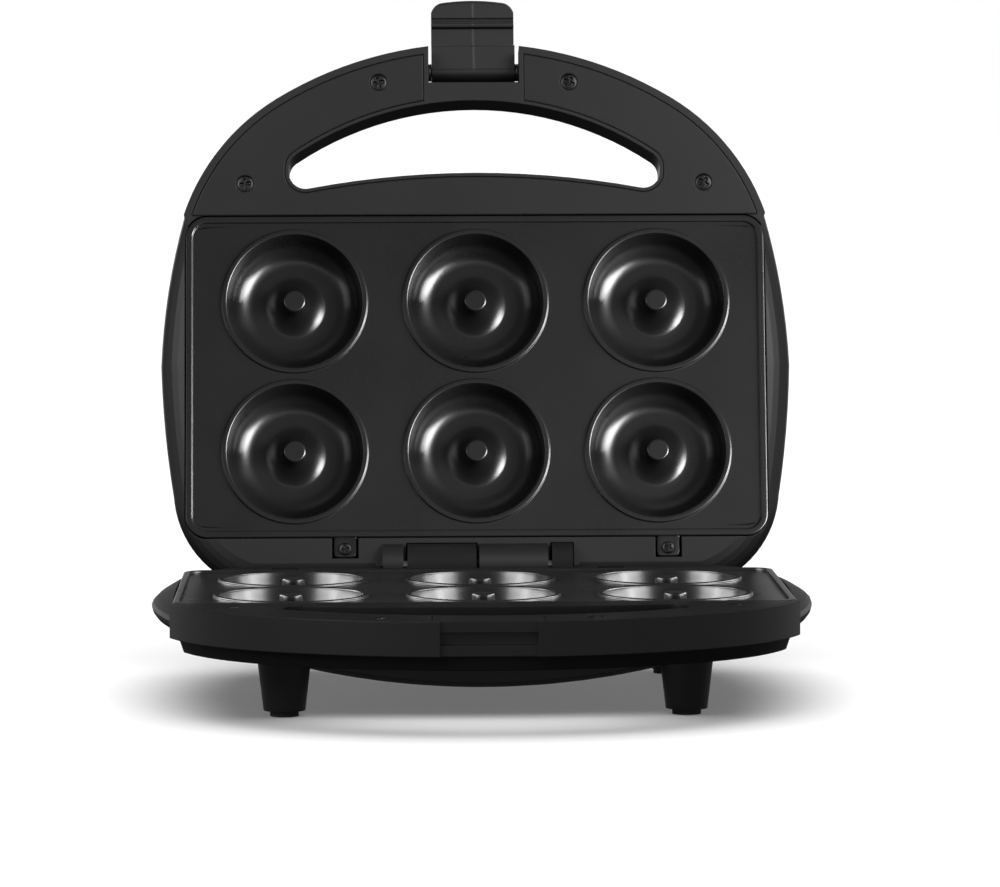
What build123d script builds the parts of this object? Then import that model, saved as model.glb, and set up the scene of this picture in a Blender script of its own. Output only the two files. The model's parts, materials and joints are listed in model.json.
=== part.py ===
from build123d import *
from math import cos, radians, sin
import os

# Six-ring donut maker, lid open on its stop and latch turned up.
# Each half has its own frame: x across, y forward from the hinge axis, z from the
# parting plane into that half, so one set of functions makes both halves.

# ---- overall sizes ----
overall_width = 235.0
arch_reach = 198.4
lid_depth = 38.0
base_depth = 35.0
parting_height = 39.0
open_angle = 103.2
hinge_setback = 61.674
rim_gap = 0.2
wall = 2.5

# ---- outline of a half ----
half_width = overall_width / 2
widest_y = 76.0
rear_edge = -8.0
kink_x = half_width - 8.5
kink_y = arch_reach - 65.4
shoulder_x = half_width - 43.5
shoulder_drop = 21.0
band_height = 12.0
handle_root = 8.0
step_inset = 3.0
skirt_draft = 1.6
grip_depth = 17.0
# right side from the front to the rear: distance in from the widest point, and place
side_points = [
    (2.6, (kink_y + widest_y) / 2),
    (0.0, widest_y),
    (1.3, widest_y - 22.0),
    (4.8, 26.4),
    (12.6, 6.0),
    (33.5, rear_edge),
]
# height and inset of the sections that the sloping sides run through
ear_sections = [
    (rim_gap, 9.0),
    (0.9, 6.2),
    (1.8, 4.0),
    (3.0, 2.0),
    (4.4, 0.6),
    (6.0, 0.0),
    (7.6, 0.4),
    (9.2, 1.6),
    (10.7, 3.8),
    (band_height, 6.4),
]
belly_inset = 7.0
belly_front_gap = 2.0
dome_radius = 280.0

# ---- handle hole and cover panel ----
grip_width = 22.0
hole_height = 27.8
hole_end_inset = 47.9
hole_end_radius = 6.2
hole_lower_radius = 335.0
hole_rim = 1.3
panel_inset = 3.0
panel_thickness = 2.0
panel_clearance = 0.25
panel_ledge = 3.0
housing_half = 19.0
panel_rear_gap = 0.4
trim_length = 60.0
crossbar_land = 1.2
panel_screw_points = [
    (35.8, arch_reach - 15.0),
    (half_width - 31.5, arch_reach - 53.7),
]
panel_screw_head = 3.2
screw_shank = 1.4
screw_length = 8.0
head_drop = 0.1
lug_head_height = 1.0
recess_length = 1.3
recess_width = 0.28

# ---- cooking plate ----
plate_side_gap = 9.3
plate_rear = 10.8
plate_front_gap = 0.8
plate_corner = 8.0
plate_clearance = 0.4
plate_metal = 2.2
bead_height = 1.0
bead_width = 2.5
well_radius = 25.25
well_bead = 2.0
well_depth = 12.5
post_radius = 4.1
well_floor_inset = 9.75
well_bend = (4.58, 1.76)
well_knee = (1.55, 6.3)
under_shoulder = (1.0, 3.0)
under_bend = (1.6, 2.0)
under_floor_inset = 7.0
post_straight = 1.6
post_bend = (2.2, 3.4)
post_foot = 7.6
overlap = 1.0
well_side_margin = 40.6
well_end_margin = 32.3
lug_width = 9.0
lug_reach = 7.6
lug_y = 6.4
lug_places = (-71.0, 49.0)
lug_screw_head = 2.3
lug_metal = 1.6
lug_boss_height = 9.0

plate_half = half_width - plate_side_gap
plate_front = kink_y - plate_front_gap
plate_mid = (plate_rear + plate_front) / 2
plate_length = plate_front - plate_rear
plate_face = rim_gap + bead_height
plate_back = plate_face + plate_metal
post_place = (plate_half - well_side_margin) / 2
well_places = [
    (i * (plate_half - well_side_margin), plate_mid + j * (plate_length / 2 - well_end_margin))
    for i in (-1, 0, 1)
    for j in (-1, 1)
]

# ---- hinge ----
barrel_radius = 8.0
barrel_clearance = 0.4
knuckle_spans = [(-26.0, -0.5), (27.5, 35.2)]
knuckle_gap = 0.5
pocket_wall = 2.5
stop_relief = 0.2
pin_radius = 2.0
pin_fit = 0.05
pin_span = (13.5, 34.4)
sleeve_radius = 2.2
sleeve_bore = 1.6
sleeve_half = 10.0

# ---- latch ----
pivot_y = arch_reach - 8.4
pivot_z = 13.25
latch_width = 31.4
notch_clearance = 1.35
notch_depth = 15.0
hub_radius = 3.8
latch_pin_radius = 1.6
latch_front_gap = 0.5
latch_plate = 3.0
latch_length = 28.5
hook_start = 18.4
hook_thick = 1.7
hook_bite = 4.5
tip_corner = 5.0
tip_crown = 1.6
latch_bend = 7.5
latch_bend_mid = 2.2
throat_bend = 5.0
throat_mid = 1.5
hook_draft = 0.3
tip_round = 2.0
tip_corner_mid = 1.4
catch_width = 32.8
catch_setback = 2.4
catch_depth = 2.4
catch_top = 4.0
catch_height = 4.2

# ---- feet ----
foot_x = 69.5
foot_rows = (kink_y + 1.5, 12.0)
foot_top_radius = 9.6
foot_tip_radius = 7.25
pad_radius = 5.0
pad_proud = 2.0
pad_seat = 1.5

foot_end = parting_height - pad_proud
foot_places = [(side * foot_x, y) for side in (-1, 1) for y in foot_rows]

# ---- inside ----
element_radius = 3.2
element_row = 20.0
element_left = -46.0
element_right = 58.0
element_gap = 0.3
element_z = plate_face + well_depth + plate_metal + element_radius + element_gap
element_bend = 18.0
reflector_z = element_z + element_radius + element_gap
bush_radius = 3.4
bush_length = 9.0
blade_size = (4.8, 0.8)
blade_length = 6.0
reflector_sheet = 0.5
reflector_half = (56.0, 30.0)
reflector_corner = 12.0
reflector_lip = 3.0
reflector_screw_head = 2.8
reflector_head_height = 1.2
reflector_screw_length = 7.0
post_size = 3.5
inlet_x = -18.0
inlet_z = 17.5
inlet_radius = 4.0
inlet_bore = 3.0
bushing_rim = 1.2
bushing_tail = 3.0
bushing_taper = 8.0
end_gap = 0.2
lens_places = (-14.0, 14.0)
lens_y = plate_front - 14.0
lens_radius = 3.5
lens_proud = 0.8
lens_seat = 4.0
lens_round = 0.6
holder_drop = 11.0
holder_size = (44.0, 10.0)
holder_corner = 2.0
holder_thickness = 2.0
lamp_radius = 2.5
lamp_length = 4.6
shell_boss = 4.0

stop_angle = (360.0 - open_angle) / 2 - stop_relief

base_frame = Plane(origin=(0, hinge_setback, parting_height), x_dir=(1, 0, 0), z_dir=(0, 0, -1))
lid_frame = Plane(
    origin=(0, hinge_setback, parting_height),
    x_dir=(-1, 0, 0),
    z_dir=(0, sin(radians(open_angle)), cos(radians(open_angle))),
)

os.makedirs("parts", exist_ok=True)


def side_plane(frame, x, y=0.0, z=0.0):
    """Plane square to the hinge axis: its x runs forward and its y into the half."""
    return Plane(origin=frame.from_local_coords((x, y, z)), x_dir=frame.y_dir, z_dir=frame.x_dir)


def save(piece, name):
    piece.label = name
    export_step(piece, f"parts/{name}.step")


def dome_centre(frame, depth):
    return frame.from_local_coords((0, plate_mid, depth - dome_radius))


# ---------------------------------------------------------------- outlines


def body_outline(inset=0.0):
    """Bulged sides and rounded rear corners, closed straight across at the kink."""
    side = [(half_width - back, y) for back, y in side_points]
    with BuildSketch() as outline:
        with BuildLine():
            ThreePointArc((kink_x, kink_y), side[0], side[1])
            ThreePointArc(side[1], side[2], side[3])
            ThreePointArc(side[3], side[4], side[5])
            Line(side[5], (0, rear_edge))
            Line((0, kink_y), (kink_x, kink_y))
            mirror(about=Plane.YZ)
        make_face()
        if inset:
            offset(amount=-inset)
    return outline.sketch


def belly_outline(inset=0.0):
    """Body outline set in under the band, carried forward to meet the handle's crossbar."""
    front = kink_y - belly_front_gap - inset
    with BuildSketch() as outline:
        add(body_outline(belly_inset + inset))
        with Locations((0, front)):
            Rectangle(
                2 * (kink_x - belly_inset - inset), 3 * belly_inset, align=(Align.CENTER, Align.MAX)
            )
    return outline.sketch


def handle_outline(inset=0.0):
    """Arched front: a crown arc runs smoothly into two tighter shoulders, down to the kinks."""
    with BuildSketch() as outline:
        with BuildLine():
            crown = ThreePointArc(
                (-shoulder_x, arch_reach - shoulder_drop),
                (0, arch_reach),
                (shoulder_x, arch_reach - shoulder_drop),
            )
            TangentArc(crown @ 1, (kink_x, kink_y), tangent=crown % 1)
            right_root = Line((kink_x, kink_y), (kink_x - step_inset, kink_y - handle_root))
            left_root = Line((-kink_x, kink_y), (-kink_x + step_inset, kink_y - handle_root))
            Line(right_root @ 1, left_root @ 1)
            TangentArc(crown @ 0, (-kink_x, kink_y), tangent=-(crown % 0))
        make_face()
        if inset:
            offset(amount=-inset)
    return outline.sketch


def hole_outline(grow=0.0):
    """Handle hole: an upper arc concentric with the crown and a flatter lower arc."""
    crown_radius = (shoulder_x**2 + shoulder_drop**2) / (2 * shoulder_drop)
    upper_radius = crown_radius - grip_width
    end_x = half_width - hole_end_inset
    top = arch_reach - grip_width
    bottom = top - hole_height
    upper_end = top - upper_radius + (upper_radius**2 - end_x**2) ** 0.5
    lower_end = bottom - hole_lower_radius + (hole_lower_radius**2 - end_x**2) ** 0.5
    with BuildSketch() as outline:
        with BuildLine():
            ThreePointArc((-end_x, upper_end), (0, top), (end_x, upper_end))
            Line((end_x, upper_end), (end_x, lower_end))
            ThreePointArc((end_x, lower_end), (0, bottom), (-end_x, lower_end))
            Line((-end_x, lower_end), (-end_x, upper_end))
        make_face()
        fillet(outline.vertices(), radius=hole_end_radius)
        if grow:
            offset(amount=grow)
    return outline.sketch


def panel_outline(clearance=0.0):
    """Flat cover on the inner face of the handle, open in the middle for the latch."""
    with BuildSketch() as outline:
        add(handle_outline(panel_inset - clearance))
        add(hole_outline(hole_rim + panel_clearance - clearance), mode=Mode.SUBTRACT)
        with Locations((0, arch_reach)):
            Rectangle(2 * (housing_half - clearance), trim_length, mode=Mode.SUBTRACT)
        with Locations((0, kink_y - panel_rear_gap - clearance)):
            Rectangle(overall_width, trim_length, align=(Align.CENTER, Align.MAX), mode=Mode.SUBTRACT)
    return outline.sketch


def plate_outline(grow=0.0):
    with BuildSketch() as outline:
        with Locations((0, plate_mid)):
            RectangleRounded(2 * (plate_half + grow), plate_length + 2 * grow, plate_corner + grow)
    return outline.sketch


# ---------------------------------------------------------------- shells


def eared_band(frame):
    """Body band whose sides slope out from the plate and tuck in underneath."""
    with BuildPart() as band:
        for height, inset in ear_sections:
            with BuildSketch(frame.offset(height)):
                add(body_outline(inset))
        loft(ruled=True)
    return band.part


def cavity(frame, depth):
    """Hollow behind the plate, a wall thickness inside the belly and the rear stop."""
    with BuildPart() as hollow:
        with BuildSketch(frame.offset(plate_back)):
            add(belly_outline(wall))
        extrude(amount=depth)
        with Locations(dome_centre(frame, depth)):
            Sphere(dome_radius - wall, mode=Mode.INTERSECT)
    return hollow.part


def beyond_stop(frame, relief):
    """Wedge behind the hinge that the other half needs when the lid stands open."""
    reach = 120.0
    slope = radians(stop_angle)
    start = (-relief * sin(slope), relief * cos(slope))
    with BuildPart() as wedge:
        with BuildSketch(side_plane(frame, -overall_width)):
            with BuildLine():
                Polyline(
                    start,
                    (start[0] + reach * cos(slope), start[1] + reach * sin(slope)),
                    (-2 * reach, reach * sin(slope)),
                    (-2 * reach, -reach),
                    (start[0], -reach),
                    close=True,
                )
            make_face()
        extrude(amount=2 * overall_width)
    return wedge.part


def belly(frame, depth):
    """Dished block under the plate, set in from the band."""
    with BuildPart() as block:
        with BuildSketch(frame.offset(plate_back)):
            add(belly_outline())
        extrude(amount=depth)
        with Locations(dome_centre(frame, depth)):
            Sphere(dome_radius, mode=Mode.INTERSECT)
    return block.part


def handle_skirt(frame):
    """Lower wall of the handle, set in under the band and drawn in as it gets deeper."""
    with BuildPart() as skirt:
        for height, inset in ((band_height, step_inset), (grip_depth, step_inset + skirt_draft)):
            with BuildSketch(frame.offset(height)):
                add(handle_outline(inset))
        loft(ruled=True)
    return skirt.part


def half_shell(frame, depth):
    """Moulded half: belly, eared band, arched loop handle and hinge knuckles."""
    with BuildPart() as shell:
        add(belly(frame, depth))
        add(eared_band(frame))
        with BuildSketch(frame.offset(rim_gap)):
            add(handle_outline())
        extrude(amount=band_height - rim_gap)
        add(handle_skirt(frame))

        # hollow of the body, with the hinge wall kept behind it
        add(cavity(frame, depth), mode=Mode.SUBTRACT)
        with BuildSketch(side_plane(frame, -knuckle_spans[1][1] - pocket_wall)):
            Circle(barrel_radius + barrel_clearance + pocket_wall)
        extrude(amount=2 * (knuckle_spans[1][1] + pocket_wall))
        add(beyond_stop(frame, 0.0), mode=Mode.SUBTRACT)
        with BuildSketch(frame.offset(rim_gap)):
            Rectangle(2 * overall_width, 4 * arch_reach)
        extrude(amount=-2 * barrel_radius, mode=Mode.SUBTRACT)

        # seat for the plate, its lugs and the handle panel
        with BuildSketch(frame):
            add(plate_outline(plate_clearance))
        extrude(amount=plate_back, mode=Mode.SUBTRACT)
        with BuildSketch(frame):
            with Locations(*[(x, plate_rear) for x in lug_places]):
                Rectangle(
                    lug_width + 2 * plate_clearance,
                    lug_reach + plate_clearance,
                    align=(Align.CENTER, Align.MAX),
                )
        extrude(amount=plate_back, mode=Mode.SUBTRACT)
        with BuildSketch(frame):
            add(panel_outline(panel_clearance))
        extrude(amount=rim_gap + panel_thickness, mode=Mode.SUBTRACT)

        # hollow of the handle under the panel
        with BuildSketch(frame):
            add(handle_outline(panel_inset + panel_ledge))
            add(hole_outline(hole_rim + panel_ledge), mode=Mode.SUBTRACT)
            with Locations((0, arch_reach)):
                Rectangle(2 * (housing_half + panel_ledge), trim_length, mode=Mode.SUBTRACT)
            with Locations((0, kink_y + crossbar_land)):
                Rectangle(overall_width, trim_length, align=(Align.CENTER, Align.MAX), mode=Mode.SUBTRACT)
        extrude(amount=grip_depth - wall, mode=Mode.SUBTRACT)
        with BuildSketch(frame.offset(rim_gap + panel_thickness)):
            with Locations(*[(s * x, y) for x, y in panel_screw_points for s in (-1, 1)]):
                Circle(shell_boss)
                Circle(screw_shank, mode=Mode.SUBTRACT)
        extrude(amount=grip_depth - wall - rim_gap - panel_thickness)
        with BuildSketch(frame.offset(plate_back)):
            with Locations(*[(x, lug_y) for x in lug_places]):
                Circle(shell_boss)
                Circle(screw_shank, mode=Mode.SUBTRACT)
        extrude(amount=lug_boss_height)
        with BuildSketch(frame):
            add(hole_outline())
        extrude(amount=grip_depth, mode=Mode.SUBTRACT)

        # pockets for the other half's knuckles, then this half's own
        for low, high in knuckle_spans:
            with BuildSketch(side_plane(frame, -high - knuckle_gap)):
                Circle(barrel_radius + barrel_clearance)
            extrude(amount=high - low + 2 * knuckle_gap, mode=Mode.SUBTRACT)
        for low, high in knuckle_spans:
            with BuildSketch(side_plane(frame, low)):
                Circle(barrel_radius)
            extrude(amount=high - low)
    return shell.part


def hinge_bores(frame, fit):
    """Pin holes at both ends of the hinge and the wire passage in the middle."""
    with BuildPart() as bores:
        for side in (-1, 1):
            with BuildSketch(side_plane(frame, side * pin_span[0])):
                Circle(pin_radius + fit)
            extrude(amount=side * (pin_span[1] - pin_span[0]))
        with BuildSketch(side_plane(frame, -sleeve_half)):
            Circle(sleeve_radius + fit)
        extrude(amount=2 * sleeve_half)
    return bores.part


# base shell: front catch for the latch, cord inlet
front_of_catch = arch_reach - catch_setback
with BuildPart() as base_shell:
    add(half_shell(base_frame, base_depth))
    add(hinge_bores(base_frame, 0.0), mode=Mode.SUBTRACT)
    with BuildSketch(base_frame):
        with Locations((0, front_of_catch)):
            Rectangle(catch_width, trim_length, align=(Align.CENTER, Align.MIN))
    extrude(amount=band_height, mode=Mode.SUBTRACT)
    with BuildSketch(base_frame.offset(catch_top)):
        with Locations((0, front_of_catch)):
            Rectangle(catch_width, 2 * catch_depth)
    extrude(amount=catch_height, mode=Mode.SUBTRACT)
    with BuildSketch(Plane(base_frame.from_local_coords((inlet_x, 0, inlet_z)), z_dir=(0, 1, 0))):
        Circle(inlet_radius)
    extrude(amount=2 * -rear_edge, both=True, mode=Mode.SUBTRACT)
save(base_shell.part, "base_shell")

# lid shell: notch and pin hole for the latch, two holes for the lights
notch_half = latch_width / 2 + notch_clearance
with BuildPart() as lid_shell:
    add(half_shell(lid_frame, lid_depth))
    add(hinge_bores(lid_frame, pin_fit), mode=Mode.SUBTRACT)
    with BuildSketch(lid_frame):
        with Locations((0, arch_reach - notch_depth)):
            Rectangle(2 * notch_half, trim_length, align=(Align.CENTER, Align.MIN))
    extrude(amount=grip_depth, mode=Mode.SUBTRACT)
    with BuildSketch(side_plane(lid_frame, 0, pivot_y, pivot_z)):
        Circle(latch_pin_radius)
    extrude(amount=housing_half + panel_ledge, both=True, mode=Mode.SUBTRACT)
    with BuildSketch(lid_frame.offset(lid_depth / 2)):
        with Locations(*[(x, lens_y) for x in lens_places]):
            Circle(lens_radius)
    extrude(amount=lid_depth / 2, mode=Mode.SUBTRACT)
save(lid_shell.part, "lid_shell")


# ---------------------------------------------------------------- handle panels and screws


def handle_panel(frame):
    with BuildPart() as panel:
        with BuildSketch(frame.offset(rim_gap)):
            add(panel_outline())
            with Locations(*[(s * x, y) for x, y in panel_screw_points for s in (-1, 1)]):
                Circle(screw_shank, mode=Mode.SUBTRACT)
        extrude(amount=panel_thickness)
        with BuildSketch(frame.offset(rim_gap)):
            with Locations(*[(s * x, y) for x, y in panel_screw_points for s in (-1, 1)]):
                Circle(panel_screw_head)
        extrude(amount=panel_thickness / 2, mode=Mode.SUBTRACT)
    return panel.part


def cross_screws(frame, places, head_radius, head_top, head_height):
    """Cross-recess pan screws, all heads at one height."""
    with BuildPart() as screws:
        with BuildSketch(frame.offset(head_top)):
            with Locations(*places):
                Circle(head_radius)
        extrude(amount=head_height)
        with BuildSketch(frame.offset(head_top)):
            with Locations(*places):
                Rectangle(recess_length * head_radius, recess_width * head_radius)
                Rectangle(recess_width * head_radius, recess_length * head_radius)
        extrude(amount=head_height / 2, mode=Mode.SUBTRACT)
        with BuildSketch(frame.offset(head_top + head_height)):
            with Locations(*places):
                Circle(screw_shank)
        extrude(amount=screw_length)
    return screws.part


halves = {"base": (base_frame, base_depth), "lid": (lid_frame, lid_depth)}
panel_screw_places = [(s * x, y) for x, y in panel_screw_points for s in (-1, 1)]
panel_head_top = rim_gap + head_drop
panel_head_height = panel_thickness / 2 - head_drop
lug_places_in = [(x, lug_y) for x in lug_places]
lug_top = plate_back - lug_metal
lug_head_top = lug_top - lug_head_height
for half, (frame, depth) in halves.items():
    save(handle_panel(frame), f"{half}_handle_panel")
    save(
        cross_screws(frame, panel_screw_places, panel_screw_head, panel_head_top, panel_head_height),
        f"{half}_panel_screws",
    )
    save(
        cross_screws(frame, lug_places_in, lug_screw_head, lug_head_top, lug_head_height),
        f"{half}_plate_screws",
    )


# ---------------------------------------------------------------- cooking plates


def well_tools():
    """Ring-shaped well about the z axis: the metal outside it and the hollow inside."""
    deep = plate_face + well_depth
    outer = well_radius + well_bead
    shoulder = (well_radius + under_shoulder[0], plate_back + under_shoulder[1])
    under_floor = (well_radius - under_floor_inset, deep + plate_metal)
    post_edge = (post_radius, plate_face + post_straight)
    floor_start = (post_radius + post_foot, deep)
    floor_end = (well_radius - well_floor_inset, deep)
    knee = (well_radius - well_knee[0], deep - well_knee[1])
    with BuildPart() as metal:
        with BuildSketch(Plane.XZ):
            with BuildLine():
                Polyline((0, plate_face), (outer, plate_face), (outer, plate_back))
                Line((outer, plate_back), shoulder)
                ThreePointArc(shoulder, (well_radius - under_bend[0], deep - under_bend[1]), under_floor)
                Polyline(under_floor, (0, deep + plate_metal), (0, plate_face))
            make_face()
        revolve(axis=Axis.Z)
        with BuildSketch(Plane.XZ):
            with Locations((well_radius + well_bead / 2, (rim_gap + plate_back) / 2)):
                Rectangle(well_bead, plate_back - rim_gap)
            with Locations((post_radius / 2, (rim_gap + plate_back) / 2)):
                Rectangle(post_radius, plate_back - rim_gap)
        revolve(axis=Axis.Z)
    with BuildPart() as hollow:
        with BuildSketch(Plane.XZ):
            with BuildLine():
                Line((post_radius, rim_gap - overlap), post_edge)
                ThreePointArc(post_edge, (post_radius + post_bend[0], deep - post_bend[1]), floor_start)
                Line(floor_start, floor_end)
                ThreePointArc(floor_end, (well_radius - well_bend[0], deep - well_bend[1]), knee)
                Polyline(
                    knee,
                    (well_radius, plate_face),
                    (well_radius, rim_gap - overlap),
                    (post_radius, rim_gap - overlap),
                )
            make_face()
        revolve(axis=Axis.Z)
    return metal.part, hollow.part


well_metal, well_hollow = well_tools()


def cooking_plate(frame):
    """Pressed plate with a raised border, six ring wells, lugs and mounting posts."""
    spots = [frame.location * Location((x, y, 0)) for x, y in well_places]
    with BuildPart() as plate:
        with BuildSketch(frame.offset(plate_face)):
            add(plate_outline())
        extrude(amount=plate_metal)
        with BuildSketch(frame.offset(rim_gap)):
            add(plate_outline())
            add(plate_outline(-bead_width), mode=Mode.SUBTRACT)
        extrude(amount=bead_height)
        with BuildSketch(frame.offset(lug_top)):
            with Locations(*[(x, plate_rear + overlap) for x in lug_places]):
                Rectangle(lug_width, lug_reach + overlap, align=(Align.CENTER, Align.MAX))
        extrude(amount=plate_back - lug_top)
        with BuildSketch(frame.offset(plate_back)):
            with Locations((-post_place, plate_mid), (post_place, plate_mid)):
                Circle(post_size)
        extrude(amount=reflector_z - plate_back)
        for spot in spots:
            add(well_metal.moved(spot))
        for spot in spots:
            add(well_hollow.moved(spot), mode=Mode.SUBTRACT)
        with BuildSketch(frame.offset(lug_top)):
            with Locations(*lug_places_in):
                Circle(screw_shank)
        extrude(amount=plate_back - lug_top, mode=Mode.SUBTRACT)
        with BuildSketch(frame.offset(reflector_z)):
            with Locations((-post_place, plate_mid), (post_place, plate_mid)):
                Circle(screw_shank)
        extrude(amount=-screw_length, mode=Mode.SUBTRACT)
    return plate.part


# ---------------------------------------------------------------- heating parts


def heating_element(frame):
    """Tubular heater bent to a U under the two rows of wells."""
    with BuildPart() as element:
        with BuildLine(frame.offset(element_z)) as path:
            FilletPolyline(
                (element_right, plate_mid + element_row),
                (element_left, plate_mid + element_row),
                (element_left, plate_mid - element_row),
                (element_right, plate_mid - element_row),
                radius=element_bend,
            )
        with BuildSketch(path.line ^ 0):
            Circle(element_radius)
        sweep()
    return element.part


def element_bushes(frame):
    """Ceramic bushes and terminal blades on the two ends of the element."""
    with BuildPart() as bushes:
        for side in (-1, 1):
            with BuildSketch(side_plane(frame, element_right, plate_mid + side * element_row, element_z)):
                Circle(bush_radius)
            extrude(amount=bush_length)
            with BuildSketch(
                side_plane(frame, element_right + bush_length, plate_mid + side * element_row, element_z)
            ):
                Rectangle(*blade_size)
            extrude(amount=blade_length)
    return bushes.part



def reflector(frame):
    """Shallow sheet tray behind the element, held on the plate's two posts."""
    with BuildPart() as tray:
        with BuildSketch(frame.offset(reflector_z)):
            with Locations((0, plate_mid)):
                RectangleRounded(2 * reflector_half[0], 2 * reflector_half[1], reflector_corner)
            with Locations((-post_place, plate_mid), (post_place, plate_mid)):
                Circle(screw_shank, mode=Mode.SUBTRACT)
        extrude(amount=reflector_sheet)
        with BuildSketch(frame.offset(reflector_z)):
            with Locations((0, plate_mid)):
                RectangleRounded(2 * reflector_half[0], 2 * reflector_half[1], reflector_corner)
                RectangleRounded(
                    2 * (reflector_half[0] - reflector_sheet),
                    2 * (reflector_half[1] - reflector_sheet),
                    reflector_corner - reflector_sheet,
                    mode=Mode.SUBTRACT,
                )
            with Locations((reflector_half[0], plate_mid)):
                Rectangle(2 * reflector_lip, 2 * reflector_half[1], mode=Mode.SUBTRACT)
        extrude(amount=-reflector_lip)
    return tray.part


def reflector_screws(frame):
    with BuildPart() as screws:
        with BuildSketch(frame.offset(reflector_z + reflector_sheet)):
            with Locations((-post_place, plate_mid), (post_place, plate_mid)):
                Circle(reflector_screw_head)
        extrude(amount=reflector_head_height)
        with BuildSketch(frame.offset(reflector_z + reflector_sheet)):
            with Locations((-post_place, plate_mid), (post_place, plate_mid)):
                Circle(screw_shank)
        extrude(amount=-reflector_screw_length)
    return screws.part


for half, (frame, depth) in halves.items():
    save(cooking_plate(frame), f"{half}_plate")
    save(heating_element(frame), f"{half}_element")
    save(element_bushes(frame), f"{half}_element_bushes")
    save(reflector(frame), f"{half}_reflector")
    save(reflector_screws(frame), f"{half}_reflector_screws")


# ---------------------------------------------------------------- electrics in the base

thermostat_place = (post_place, plate_rear + 10.4)
thermostat_button = 5.0
thermostat_body = 6.5
button_height = 2.0
thermostat_height = 6.0
fuse_place = (62.0, 8.6, 12.0)
fuse_radius = 2.0
fuse_length = 12.0
with BuildPart() as thermostat:
    with BuildSketch(base_frame.offset(plate_back)):
        with Locations(thermostat_place):
            Circle(thermostat_button)
    extrude(amount=button_height)
    with BuildSketch(base_frame.offset(plate_back + button_height)):
        with Locations(thermostat_place):
            Circle(thermostat_body)
    extrude(amount=thermostat_height)
save(thermostat.part, "thermostat")

with BuildPart() as thermal_fuse:
    with BuildSketch(side_plane(base_frame, *fuse_place)):
        Circle(fuse_radius)
    extrude(amount=fuse_length)
save(thermal_fuse.part, "thermal_fuse")

block_x = -49.0
block_y = 8.6
block_top = 9.0
block_size = (20.0, 9.0, 8.0)
block_corner = 1.5
block_bore = 1.5
block_pitch = 6.2
with BuildPart() as terminal_block:
    with BuildSketch(base_frame.offset(block_top)):
        with Locations((block_x, block_y)):
            RectangleRounded(block_size[0], block_size[1], block_corner)
            with GridLocations(block_pitch, 0, 3, 1):
                Circle(block_bore, mode=Mode.SUBTRACT)
    extrude(amount=block_size[2])
save(terminal_block.part, "terminal_block")

inlet_plane = Plane(base_frame.from_local_coords((inlet_x, 0, inlet_z)), z_dir=(0, 1, 0))
inlet_wall = rear_edge + belly_inset
with BuildPart() as cord_bushing:
    with BuildSketch(inlet_plane.offset(-inlet_wall - wall)):
        Circle(inlet_radius)
        Circle(inlet_bore, mode=Mode.SUBTRACT)
    extrude(amount=wall + end_gap)
    with BuildSketch(inlet_plane.offset(-inlet_wall + end_gap)):
        Circle(inlet_radius + bushing_rim)
        Circle(inlet_bore, mode=Mode.SUBTRACT)
    extrude(amount=bushing_tail, taper=bushing_taper)
save(cord_bushing.part, "cord_bushing")

with BuildPart() as hinge_pins:
    for side in (-1, 1):
        with BuildSketch(side_plane(base_frame, side * (pin_span[0] + end_gap))):
            Circle(pin_radius)
        extrude(amount=side * (pin_span[1] - pin_span[0] - 2 * end_gap))
save(hinge_pins.part, "hinge_pins")

with BuildPart() as wire_sleeve:
    with BuildSketch(side_plane(base_frame, -sleeve_half + end_gap)):
        Circle(sleeve_radius)
        Circle(sleeve_bore, mode=Mode.SUBTRACT)
    extrude(amount=2 * (sleeve_half - end_gap))
save(wire_sleeve.part, "hinge_wire_sleeve")

with BuildPart() as feet:
    with Locations(*[base_frame.location * Location((x, y, grip_depth)) for x, y in foot_places]):
        Cone(
            foot_top_radius,
            foot_tip_radius,
            foot_end - grip_depth,
            align=(Align.CENTER, Align.CENTER, Align.MIN),
        )
    add(belly(base_frame, base_depth), mode=Mode.SUBTRACT)
    with BuildSketch(base_frame.offset(foot_end)):
        with Locations(*foot_places):
            Circle(pad_radius)
    extrude(amount=-pad_seat, mode=Mode.SUBTRACT)
save(feet.part, "feet")

with BuildPart() as foot_pads:
    with BuildSketch(base_frame.offset(foot_end - pad_seat)):
        with Locations(*foot_places):
            Circle(pad_radius)
    extrude(amount=pad_seat + pad_proud)
save(foot_pads.part, "foot_pads")


# ---------------------------------------------------------------- lid fittings

lens_top = lid_depth - (lens_y - plate_mid) ** 2 / (2 * dome_radius)
for name, lens_x in zip(("power_lens", "ready_lens"), lens_places):
    with BuildPart() as lens:
        with BuildSketch(lid_frame.offset(lens_top - lens_seat)):
            with Locations((lens_x, lens_y)):
                Circle(lens_radius)
        extrude(amount=lens_seat + lens_proud)
        fillet(lens.faces().sort_by(Axis(lid_frame.origin, lid_frame.z_dir))[-1].edges(), radius=lens_round)
    save(lens.part, name)

with BuildPart() as lamp_holder:
    with BuildSketch(lid_frame.offset(lens_top - holder_drop)):
        with Locations((0, lens_y)):
            RectangleRounded(*holder_size, holder_corner)
    extrude(amount=holder_thickness)
    with BuildSketch(lid_frame.offset(lens_top - holder_drop + holder_thickness)):
        with Locations(*[(x, lens_y) for x in lens_places]):
            Circle(lamp_radius)
    extrude(amount=lamp_length)
save(lamp_holder.part, "lamp_holder")

with BuildPart() as latch_pin:
    with BuildSketch(side_plane(lid_frame, 0, pivot_y, pivot_z)):
        Circle(latch_pin_radius)
    extrude(amount=housing_half + panel_ledge - end_gap, both=True)
save(latch_pin.part, "latch_pin")

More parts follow.
